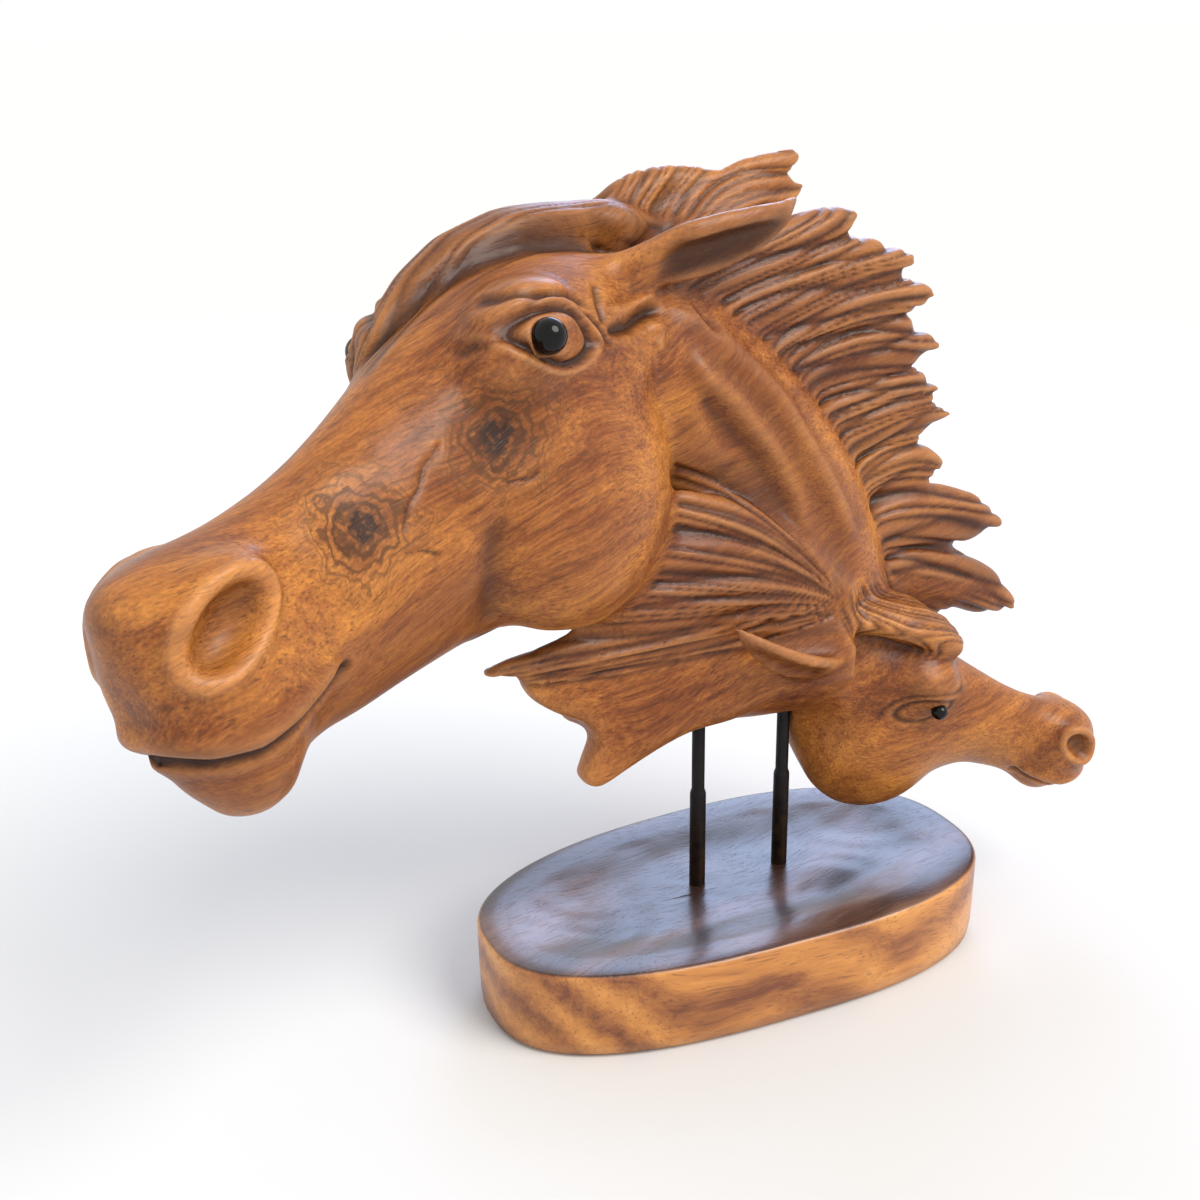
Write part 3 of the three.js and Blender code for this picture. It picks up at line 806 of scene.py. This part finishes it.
def add(tree, kind, settings=None, **inputs):
    """The outputs of a new node with these settings and inputs."""
    node = tree.nodes.new("ShaderNode" + kind)
    for name, value in (settings or {}).items():
        setattr(node, name, value)
    connect(node, **inputs)
    return node.outputs


def blend(tree, share, first, second):
    """A mix of two colours; share is how much of the second there is."""
    node = tree.nodes.new("ShaderNodeMix")
    node.data_type = "RGBA"
    connect(node, _0=share, _6=first, _7=second)
    return node.outputs[2]


def colours_along(tree, value, stops):
    """A colour ramp through (place, colour) stops."""
    node = tree.nodes.new("ShaderNodeValToRGB")
    ramp_stops = node.color_ramp.elements
    while len(ramp_stops) < len(stops):
        ramp_stops.new(0.5)
    for stop, (place, colour) in zip(ramp_stops, stops):
        stop.position = place
        stop.color = colour
    connect(node, _0=value)
    return node.outputs[0]


def share_between(tree, value, low, high, first=0.0, last=1.0):
    """The value's share of the way from low to high, held between first and last."""
    return add(tree, "MapRange", _0=value, _1=low, _2=high, _3=first, _4=last)[0]


def calc(tree, operation, a, b=0.0):
    return add(tree, "Math", {"operation": operation}, _0=a, _1=b)[0]


def times(tree, a, b):
    return calc(tree, "MULTIPLY", a, b)


def stored(tree, name):
    """What the mesh stores for each point under this name."""
    return add(tree, "Attribute", {"attribute_name": name})["Fac"]


def timber(tree, turn, centre):
    """The figure of sawn wood: growth bands round a pith, streaks and pores along the grain.

    The grain's own frame has x along the grain. Bands are about 24 mm apart, streaks are 5 mm wide and 90 mm
    long, and pores are drawn 1.2 mm wide and 15 mm long, coarser than real ones, so that they show."""
    place = add(tree, "TexCoord")["Object"]
    grain = add(tree, "Mapping", {"vector_type": "TEXTURE"}, Vector=place, Location=centre, Rotation=turn)[0]
    drift = add(tree, "TexNoise", Vector=grain, Scale=8.0, Detail=2.0)["Color"]
    drift = add(tree, "VectorMath", {"operation": "SUBTRACT"}, _0=drift, _1=(0.5, 0.5, 0.5))[0]
    drift = add(tree, "VectorMath", {"operation": "MULTIPLY"}, _0=drift, _1=(0.0, 0.05, 0.05))[0]
    swirl = add(tree, "VectorMath", {"operation": "ADD"}, _0=grain, _1=drift)[0]

    def stretched(along, across, detail, rough=0.55):
        scaled = add(tree, "VectorMath", {"operation": "MULTIPLY"}, _0=swirl, _1=(along, across, across))[0]
        return add(tree, "TexNoise", Vector=scaled, Scale=1.0, Detail=detail, Roughness=rough)[0]

    bands = add(
        tree,
        "TexWave",
        {"wave_type": "RINGS", "rings_direction": "X"},
        Vector=swirl,
        Scale=math.tau / (20 * 24 * MM),
        Distortion=3.0,
        Detail=2.0,
        Detail_Scale=0.6,
    )["Fac"]
    return {
        "place": place,
        "bands": bands,
        "streaks": stretched(11.0, 190.0, 3.0),
        "fine": stretched(40.0, 700.0, 2.0),
        "pores": stretched(65.0, 850.0, 1.0, 0.4),
        "patches": stretched(5.0, 14.0, 2.0),
        "speckle": stretched(420.0, 900.0, 1.0),
    }


def carved_wood(settings):
    """Suar wood, carved, sanded and oiled, then lacquered thinly.

    It looks warm red-brown with golden patches, and darker in every cut and hollow, where staining gathers
    and shade is painted in. It has fine dark pores along the grain, and the lacquer gives broad soft
    highlights rather than sharp ones."""
    material, tree, shader = new_material("Suar wood, carved, stained and thinly lacquered")
    wood = timber(tree, (math.radians(6), math.radians(-14), math.radians(14)), (0.0, 0.09, 0.20))
    figure = times(tree, wood["bands"], 0.05)
    for part, weight in (("streaks", 0.3), ("patches", 0.45), ("fine", 0.24)):
        figure = calc(tree, "ADD", figure, times(tree, wood[part], weight))
    colour = colours_along(
        tree,
        figure,
        [
            (0.33, settings.dark_wood[:] + (1,)),
            (0.44, settings.red_wood[:] + (1,)),
            (0.53, settings.brown_wood[:] + (1,)),
            (0.66, settings.golden_wood[:] + (1,)),
        ],
    )
    pores = share_between(tree, wood["pores"], 0.6, 0.72)
    colour = blend(tree, times(tree, pores, 0.5), colour, linear("#4b2510"))
    speckle = share_between(tree, wood["speckle"], 0.35, 0.65, 0.86, 1.14)
    colour = add(tree, "VectorMath", {"operation": "SCALE"}, _0=colour, Scale=speckle)[0]

    hair = times(tree, stored(tree, "hair"), 0.45)
    colour = blend(tree, hair, colour, settings.hair_stain[:] + (1,))
    ragged = add(tree, "TexNoise", Vector=wood["place"], Scale=90.0, Detail=4.0)[0]
    knot = times(tree, stored(tree, "knot"), share_between(tree, ragged, 0.2, 0.8, 0.6, 1.4))
    rings = share_between(tree, calc(tree, "SINE", times(tree, knot, 24.0)), -0.4, 0.9, 0.15, 0.9)
    colour = blend(tree, times(tree, share_between(tree, knot, 2.0, 0.8), rings), colour, linear("#54300f"))
    flakes = add(tree, "TexNoise", Vector=wood["place"], Scale=240.0, Detail=2.0)[0]
    flakes = times(tree, share_between(tree, flakes, 0.52, 0.6), 0.5)
    heart = calc(tree, "SUBTRACT", share_between(tree, knot, 0.75, 0.3, 0.0, 0.9), flakes)
    colour = blend(tree, add(tree, "Clamp", _0=heart)[0], colour, linear("#241209"))
    split = times(tree, stored(tree, "split"), share_between(tree, ragged, 0.3, 0.7, 0.5, 2.0))
    crack = share_between(tree, split, 0.9 * MM, 0.2 * MM, 0.0, 0.6)
    colour = blend(tree, crack, colour, linear("#2e1a10"))
    # Painted shade, with staining: the hollow and cut shares darken the wood in every cut, hollow and ear.
    for name, weight in (("hollow", 0.75), ("cut", 0.72)):
        stain_and_shade = times(tree, stored(tree, name), weight)
        colour = blend(tree, stain_and_shade, colour, settings.stain_and_shade[:] + (1,))
    ridge = times(tree, stored(tree, "ridge"), 0.3)
    colour = blend(tree, ridge, colour, linear("#d79a62"))
    rough = share_between(tree, wood["streaks"], 0.3, 0.7, 0.36, 0.5)
    connect(shader, Specular_IOR_Level=0.22, Coat_Weight=0.14, Coat_Roughness=0.22)
    relief = calc(tree, "SUBTRACT", times(tree, wood["fine"], 0.5), times(tree, pores, 0.5))
    relief = calc(tree, "ADD", relief, times(tree, wood["speckle"], 0.3))
    dents = add(tree, "Bump", Strength=0.55, Distance=0.5 * MM, Height=relief)[0]
    connect(shader, Base_Color=colour, Roughness=rough, Normal=dents)
    return material


def base_wood():
    """Suar wood, sawn, sanded and polished with lacquer.

    The side is golden sapwood with a broad dark band. The top is dark heartwood under a glossier coat that
    mirrors the room."""
    material, tree, shader = new_material("Suar wood, sawn and polished")
    wood = timber(tree, (0.0, math.radians(3), math.radians(8)), (0.0, 0.03, -0.05))
    figure = times(tree, wood["bands"], 0.18)
    for part, weight in (("streaks", 0.28), ("patches", 0.44), ("fine", 0.12)):
        figure = calc(tree, "ADD", figure, times(tree, wood[part], weight))
    side = colours_along(
        tree,
        figure,
        [
            (0.36, linear("#6b3413")),
            (0.48, linear("#9c5f28")),
            (0.6, linear("#bd7c38")),
            (0.74, linear("#d79a50")),
        ],
    )
    top = colours_along(
        tree,
        figure,
        [
            (0.36, linear("#2a1a16")),
            (0.5, linear("#432b24")),
            (0.62, linear("#5d4034")),
            (0.76, linear("#7a5a48")),
        ],
    )
    on_top = stored(tree, "top")
    colour = blend(tree, on_top, side, top)
    pores = share_between(tree, wood["pores"], 0.6, 0.72)
    colour = blend(tree, times(tree, pores, 0.4), colour, linear("#3c2010"))
    rough = share_between(tree, on_top, 0.0, 1.0, 0.42, 0.36)
    connect(shader, Coat_Weight=0.4, Coat_Roughness=0.2)
    relief = calc(tree, "SUBTRACT", wood["fine"], pores)
    dents = add(tree, "Bump", Strength=0.4, Distance=0.3 * MM, Height=relief)[0]
    connect(shader, Base_Color=colour, Roughness=rough, Normal=dents)
    return material


def black_steel():
    """Mild steel, drawn, then blackened by heat and oil. It is nearly black and has a dull broken sheen; just
    above the base it has brown patches, a painted reflection of the wood."""
    material, tree, shader = new_material("Mild steel, blackened")
    place = add(tree, "TexCoord")["Object"]
    scale = add(tree, "TexNoise", Vector=place, Scale=160.0, Detail=4.0)[0]
    low = add(tree, "SeparateXYZ", _0=place)[2]
    # Painted reflection of the wooden base: brown patches low on the rod.
    brown = times(tree, share_between(tree, low, 0.1, 0.05), 0.7)
    brown = times(tree, brown, share_between(tree, scale, 0.35, 0.6))
    colour = blend(tree, brown, linear("#1d1a1b"), linear("#4a3016"))
    rough = share_between(tree, scale, 0.3, 0.7, 0.32, 0.62)
    dents = add(tree, "Bump", Strength=0.5, Distance=0.25 * MM, Height=scale)[0]
    connect(shader, Base_Color=colour, Metallic=0.75, Roughness=rough, Normal=dents)
    return material


def black_glass():
    """Soda-lime glass, pressed and fire-polished, opaque black. It mirrors lamps as small sharp points."""
    material, tree, shader = new_material("Black glass, fire-polished")
    place = add(tree, "TexCoord")["Object"]
    cloud = add(tree, "TexNoise", Vector=place, Scale=300.0, Detail=1.0)[0]
    colour = blend(tree, cloud, linear("#020202"), linear("#0a0807"))
    connect(shader, Base_Color=colour, Roughness=0.03, Specular_IOR_Level=0.25)
    return material


# ---- Stage ----

CAMERA_PLACE = (-0.3751, -0.6452, 0.5007)
CAMERA_PITCH, CAMERA_YAW, CAMERA_ROLL = -0.3648, -0.4310, -0.0151


def place_camera():
    data = bpy.data.cameras.new("camera")
    data.lens = 45
    data.sensor_width = 36
    camera = bpy.data.objects.new("camera", data)
    bpy.context.scene.collection.objects.link(camera)
    turn = Matrix.Rotation(CAMERA_YAW, 4, "Z") @ Matrix.Rotation(math.pi / 2 + CAMERA_PITCH, 4, "X")
    camera.matrix_world = Matrix.Translation(CAMERA_PLACE) @ turn @ Matrix.Rotation(CAMERA_ROLL, 4, "Z")
    bpy.context.scene.camera = camera


def soft_light(kind, name, place, aim, energy, colour, **settings):
    """A light at a place, turned to its aim. The settings give its spread, which keeps shadows soft."""
    data = bpy.data.lights.new(name, kind)
    data.energy = energy
    data.color = colour
    for setting, value in settings.items():
        setattr(data, setting, value)
    lamp = bpy.data.objects.new(name, data)
    bpy.context.scene.collection.objects.link(lamp)
    lamp.location = place
    lamp.rotation_euler = (Vector(aim) - Vector(place)).to_track_quat("-Z", "Y").to_euler()


def floor_piece(colour):
    """A plain floor of matt paper."""
    bm = bmesh.new()
    bmesh.ops.create_grid(bm, x_segments=1, y_segments=1, size=120)
    floor = new_piece("floor", bm)
    material, _, shader = new_material("Matt white paper")
    connect(shader, Base_Color=colour, Roughness=0.9)
    floor.data.materials.append(material)


# ---- The add-on ----


def colour_property(name, description, colour):
    return bpy.props.FloatVectorProperty(
        name=name,
        description=description,
        subtype="COLOR",
        size=3,
        min=0,
        max=1,
        default=linear(colour)[:3],
    )


def number_property(name, description, default, **settings):
    return bpy.props.FloatProperty(name=name, description=description, default=default, min=0, **settings)


def length_property(name, description, default):
    return number_property(name, description, default, unit="LENGTH")


class CarvingSettings(bpy.types.PropertyGroup):
    rough_detail: length_property("Rough detail", "Voxel size of the block while it is rounded", 2 * MM)
    detail: length_property("Detail", "Voxel size of the block while it is carved", 1.25 * MM)
    rounding: bpy.props.IntProperty(name="Rounding", description="Rounds of smoothing", default=60, min=0)
    strand_depth: length_property("Strand depth", "Depth of the cuts between strands of hair", 2.2 * MM)
    most_triangles: bpy.props.IntProperty(
        name="Triangles", description="Triangles that the carving may have", default=190000, min=1000
    )
    golden_wood: colour_property("Golden wood", "The palest wood", "#b57330")
    brown_wood: colour_property("Brown wood", "The middle of the wood's colours", "#915524")
    red_wood: colour_property("Red wood", "The redder, darker figure", "#713a16")
    dark_wood: colour_property("Dark wood", "The darkest figure", "#431d0b")
    hair_stain: colour_property("Hair stain", "The stain on manes and forelocks", "#5c2a14")
    # The colour of staining and painted shade in cuts, hollows and ears.
    stain_and_shade: colour_property("Stain and painted shade", "The stain that gathers in cuts and corners", "#200c05")


class BaseSettings(bpy.types.PropertyGroup):
    edge_radius: length_property("Edge radius", "Rounding of the upper edge", 2.6 * MM)
    dish_depth: length_property("Dish depth", "How far the top dips in the middle", 5 * MM)
    gouge_depth: length_property("Gouge depth", "Height of the gouge marks in the dish", 0.2 * MM)


class RodSettings(bpy.types.PropertyGroup):
    upper_share: number_property("Upper width", "The upper part's width by the sleeve's", 0.8, max=1)
    sleeve_share: number_property("Sleeve height", "The sleeve's share of the rod", 0.57, max=1)


class StageSettings(bpy.types.PropertyGroup):
    floor_colour: colour_property("Floor", "Colour of the floor", "#cfcfcf")
    key_strength: number_property("Key", "Strength of the main light", 2.7)
    sky_power: number_property("Sky", "Power of the cool lamp behind", 12)
    room: number_property("Room", "Brightness of the white room", 1.0)


class SculptureSettings(bpy.types.PropertyGroup):
    carving: bpy.props.PointerProperty(type=CarvingSettings)
    base: bpy.props.PointerProperty(type=BaseSettings)
    rods: bpy.props.PointerProperty(type=RodSettings)
    stage: bpy.props.PointerProperty(type=StageSettings)


class SCULPTURE_OT_stage(bpy.types.Operator):
    """Make the floor, the lamps and the camera"""

    bl_idname = "sculpture.stage"
    bl_label = "Stage"

    def execute(self, context):
        settings = context.scene.sculpture.stage
        floor_piece(settings.floor_colour[:] + (1,))
        world = bpy.data.worlds.new("white room")
        world.use_nodes = True
        world.node_tree.nodes["Background"].inputs[0].default_value = (1, 1, 1, 1)
        world.node_tree.nodes["Background"].inputs[1].default_value = settings.room
        context.scene.world = world
        aim = (0.0, 0.0, 0.25)
        warm, cool = (1, 0.96, 0.9), (0.45, 0.62, 1)
        key, sky = settings.key_strength, settings.sky_power
        soft_light("SUN", "key light", (0.7, -1.0, 1.5), aim, key, warm, angle=math.radians(38))
        soft_light("AREA", "sky lamp", (0.9, 1.3, 1.0), aim, sky, cool, shape="DISK", size=0.9)
        place_camera()
        context.scene.view_settings.view_transform = "Standard"
        return {"FINISHED"}


class SCULPTURE_OT_carving(bpy.types.Operator):
    """Carve the mare, the foal and their manes from one block"""

    bl_idname = "sculpture.carving"
    bl_label = "Carved mare and foal"

    def execute(self, context):
        settings = context.scene.sculpture.carving
        piece = carve(settings)
        for face in piece.data.polygons:
            face.use_smooth = True
        finish_piece(piece, "carved_mare_and_foal", carved_wood(settings))
        return {"FINISHED"}


class SCULPTURE_OT_base(bpy.types.Operator):
    """Make the oval base"""

    bl_idname = "sculpture.base"
    bl_label = "Oval base"

    def execute(self, context):
        settings = context.scene.sculpture.base
        piece = new_piece("polished_oval_base", base_block(settings))
        dish_surface(piece, settings)
        finish_piece(piece, "oval_base", base_wood())
        return {"FINISHED"}


class SCULPTURE_OT_rods(bpy.types.Operator):
    """Make the two steel rods"""

    bl_idname = "sculpture.rods"
    bl_label = "Steel rods"

    def execute(self, context):
        material = black_steel()
        for side in ("left", "right"):
            node = f"support_rod_{side}"
            piece = rod_piece(node, f"blackened_rod_{side}", context.scene.sculpture.rods)
            finish_piece(piece, node, material)
        return {"FINISHED"}


class SCULPTURE_OT_eyes(bpy.types.Operator):
    """Make the four glass eyes"""

    bl_idname = "sculpture.eyes"
    bl_label = "Glass eyes"

    def execute(self, context):
        material = black_glass()
        for animal in ("mare", "foal"):
            for side in ("left", "right"):
                piece = eye_piece(f"{animal}_eye_{side}", f"{animal}_glass_eye_{side}")
                finish_piece(piece, f"{animal}_eye_{side}", material)
        return {"FINISHED"}


class SCULPTURE_PT_panel(bpy.types.Panel):
    """The sculpture's pieces and their sizes"""

    bl_label = "Carved mare and foal"
    bl_space_type = "VIEW_3D"
    bl_region_type = "UI"
    bl_category = "Sculpture"

    def draw(self, context):
        settings = context.scene.sculpture
        for operator, group in (
            (SCULPTURE_OT_stage, settings.stage),
            (SCULPTURE_OT_carving, settings.carving),
            (SCULPTURE_OT_base, settings.base),
            (SCULPTURE_OT_rods, settings.rods),
            (SCULPTURE_OT_eyes, None),
        ):
            box = self.layout.box()
            box.operator(operator.bl_idname)
            for name in group.__annotations__ if group else ():
                box.prop(group, name)


CLASSES = (
    CarvingSettings,
    BaseSettings,
    RodSettings,
    StageSettings,
    SculptureSettings,
    SCULPTURE_OT_stage,
    SCULPTURE_OT_carving,
    SCULPTURE_OT_base,
    SCULPTURE_OT_rods,
    SCULPTURE_OT_eyes,
    SCULPTURE_PT_panel,
)


def register():
    for kind in CLASSES:
        bpy.utils.register_class(kind)
    bpy.types.Scene.sculpture = bpy.props.PointerProperty(type=SculptureSettings)


def unregister():
    del bpy.types.Scene.sculpture
    for kind in reversed(CLASSES):
        bpy.utils.unregister_class(kind)


def main():
    register()
    bpy.ops.sculpture.stage()
    bpy.ops.sculpture.carving()
    bpy.ops.sculpture.base()
    bpy.ops.sculpture.rods()
    bpy.ops.sculpture.eyes()


if __name__ == "__main__":
    main()
